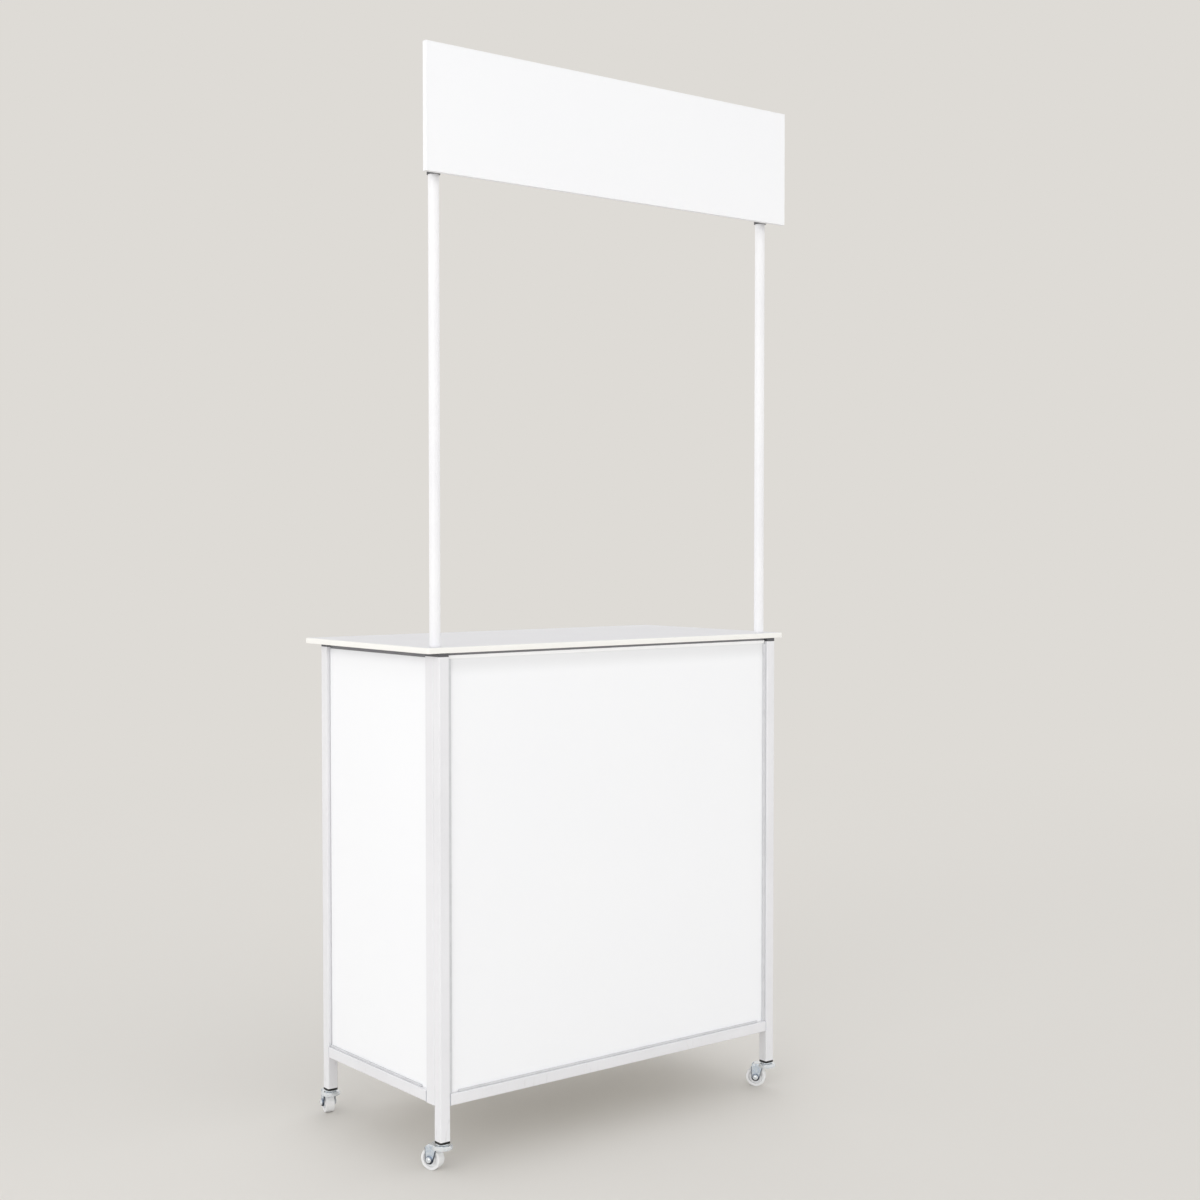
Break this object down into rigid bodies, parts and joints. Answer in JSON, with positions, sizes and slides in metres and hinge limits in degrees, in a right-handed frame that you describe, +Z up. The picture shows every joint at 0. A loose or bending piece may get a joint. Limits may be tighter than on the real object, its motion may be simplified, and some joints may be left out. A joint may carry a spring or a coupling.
{
  "type": "promotion counter",
  "caption": "White demonstration counter on swivel casters: panelled tube frame with shelves at its open back, a table top, and a header board on poles that lift out.",
  "frame": {"origin": "on the floor, under the middle of the table top", "axes": "+Z up; the front with the panel and the header face -Y; +X to the right seen from the front"},
  "size_m": [0.83, 0.4371, 1.909],
  "materials": {
    "frame_paint": "satin",
    "pole_paint": "satin",
    "front_panel_sheet": "satin",
    "side_panel_sheet": "satin",
    "header_sheet": "satin",
    "shelf_board": "satin",
    "top_laminate": "satin",
    "edge_band": "satin",
    "black_plastic": "matte",
    "grey_plastic": "satin",
    "black_foam": "matte",
    "screw_zinc": "satin",
    "caster_zinc": "polished",
    "wheel_plastic": "satin"
  },
  "bodies": {
    "counter": {"post_front_left": "frame_paint", "post_front_right": "frame_paint", "post_rear_left": "frame_paint", "post_rear_right": "frame_paint", "pole_socket_left": "frame_paint", "pole_socket_right": "frame_paint", "rail_front_lower": "frame_paint", "rail_rear_lower": "frame_paint", "rail_rear_upper": "frame_paint", "rail_left_lower": "frame_paint", "rail_right_lower": "frame_paint", "top_angle_front": "frame_paint", "top_angle_left": "frame_paint", "top_angle_right": "frame_paint", "shelf_bearer_lower_left": "frame_paint", "shelf_bearer_lower_right": "frame_paint", "shelf_bearer_upper_left": "frame_paint", "shelf_bearer_upper_right": "frame_paint", "panel_lugs": "frame_paint", "panel_front": "front_panel_sheet", "panel_left": "side_panel_sheet", "panel_right": "side_panel_sheet", "shelf_lower": "shelf_board", "shelf_upper": "shelf_board", "table_top": "top_laminate", "top_edge_band": "edge_band", "post_caps": "black_plastic", "leg_plugs": "black_plastic", "rail_end_plugs": "grey_plastic", "socket_bush_left": "black_plastic", "socket_bush_right": "black_plastic", "side_seals": "black_foam", "top_screws": "screw_zinc", "shelf_screws": "screw_zinc", "panel_screws": "screw_zinc", "socket_stop_bolts": "screw_zinc", "caster_stem_front_left": "caster_zinc", "caster_stem_front_right": "caster_zinc", "caster_stem_rear_left": "caster_zinc", "caster_stem_rear_right": "caster_zinc"},
    "header": {"header_pole_left": "pole_paint", "header_pole_right": "pole_paint", "pole_caps": "black_plastic", "pole_feet": "black_plastic", "header_board": "header_sheet", "header_clips": "black_plastic", "clip_screws": "screw_zinc"},
    "swivel_front_left": {"caster_fork_front_left": "caster_zinc", "caster_axle_front_left": "caster_zinc"},
    "wheel_front_left": {"caster_wheel_front_left": "wheel_plastic"},
    "swivel_front_right": {"caster_fork_front_right": "caster_zinc", "caster_axle_front_right": "caster_zinc"},
    "wheel_front_right": {"caster_wheel_front_right": "wheel_plastic"},
    "swivel_rear_left": {"caster_fork_rear_left": "caster_zinc", "caster_axle_rear_left": "caster_zinc"},
    "wheel_rear_left": {"caster_wheel_rear_left": "wheel_plastic"},
    "swivel_rear_right": {"caster_fork_rear_right": "caster_zinc", "caster_axle_rear_right": "caster_zinc"},
    "wheel_rear_right": {"caster_wheel_rear_right": "wheel_plastic"}
  },
  "joints": [
    {"name": "header_lift", "type": "slide", "parent": "counter", "child": "header", "axis": [0, 0, 1], "range_m": [0, 0.36]},
    {"name": "caster_swivel_front_left", "type": "hinge", "parent": "counter", "child": "swivel_front_left", "pos_m": [-0.382, -0.2, 0.045], "axis": [0, 0, 1], "continuous": true},
    {"name": "wheel_spin_front_left", "type": "hinge", "parent": "swivel_front_left", "child": "wheel_front_left", "pos_m": [-0.38981, -0.18159, 0.019], "axis": [-0.9205, -0.3907, 0], "continuous": true},
    {"name": "caster_swivel_front_right", "type": "hinge", "parent": "counter", "child": "swivel_front_right", "pos_m": [0.382, -0.2, 0.045], "axis": [0, 0, 1], "continuous": true},
    {"name": "wheel_spin_front_right", "type": "hinge", "parent": "swivel_front_right", "child": "wheel_front_right", "pos_m": [0.36888, -0.18491, 0.019], "axis": [-0.7547, -0.6561, 0], "continuous": true},
    {"name": "caster_swivel_rear_left", "type": "hinge", "parent": "counter", "child": "swivel_rear_left", "pos_m": [-0.382, 0.18, 0.045], "axis": [0, 0, 1], "continuous": true},
    {"name": "wheel_spin_rear_left", "type": "hinge", "parent": "swivel_rear_left", "child": "wheel_rear_left", "pos_m": [-0.37649, 0.19923, 0.019], "axis": [-0.9613, 0.2756, 0], "continuous": true},
    {"name": "caster_swivel_rear_right", "type": "hinge", "parent": "counter", "child": "swivel_rear_right", "pos_m": [0.382, 0.18, 0.045], "axis": [0, 0, 1], "continuous": true},
    {"name": "wheel_spin_rear_right", "type": "hinge", "parent": "swivel_rear_right", "child": "wheel_rear_right", "pos_m": [0.39347, 0.19638, 0.019], "axis": [-0.8192, 0.5736, 0], "continuous": true}
  ]
}
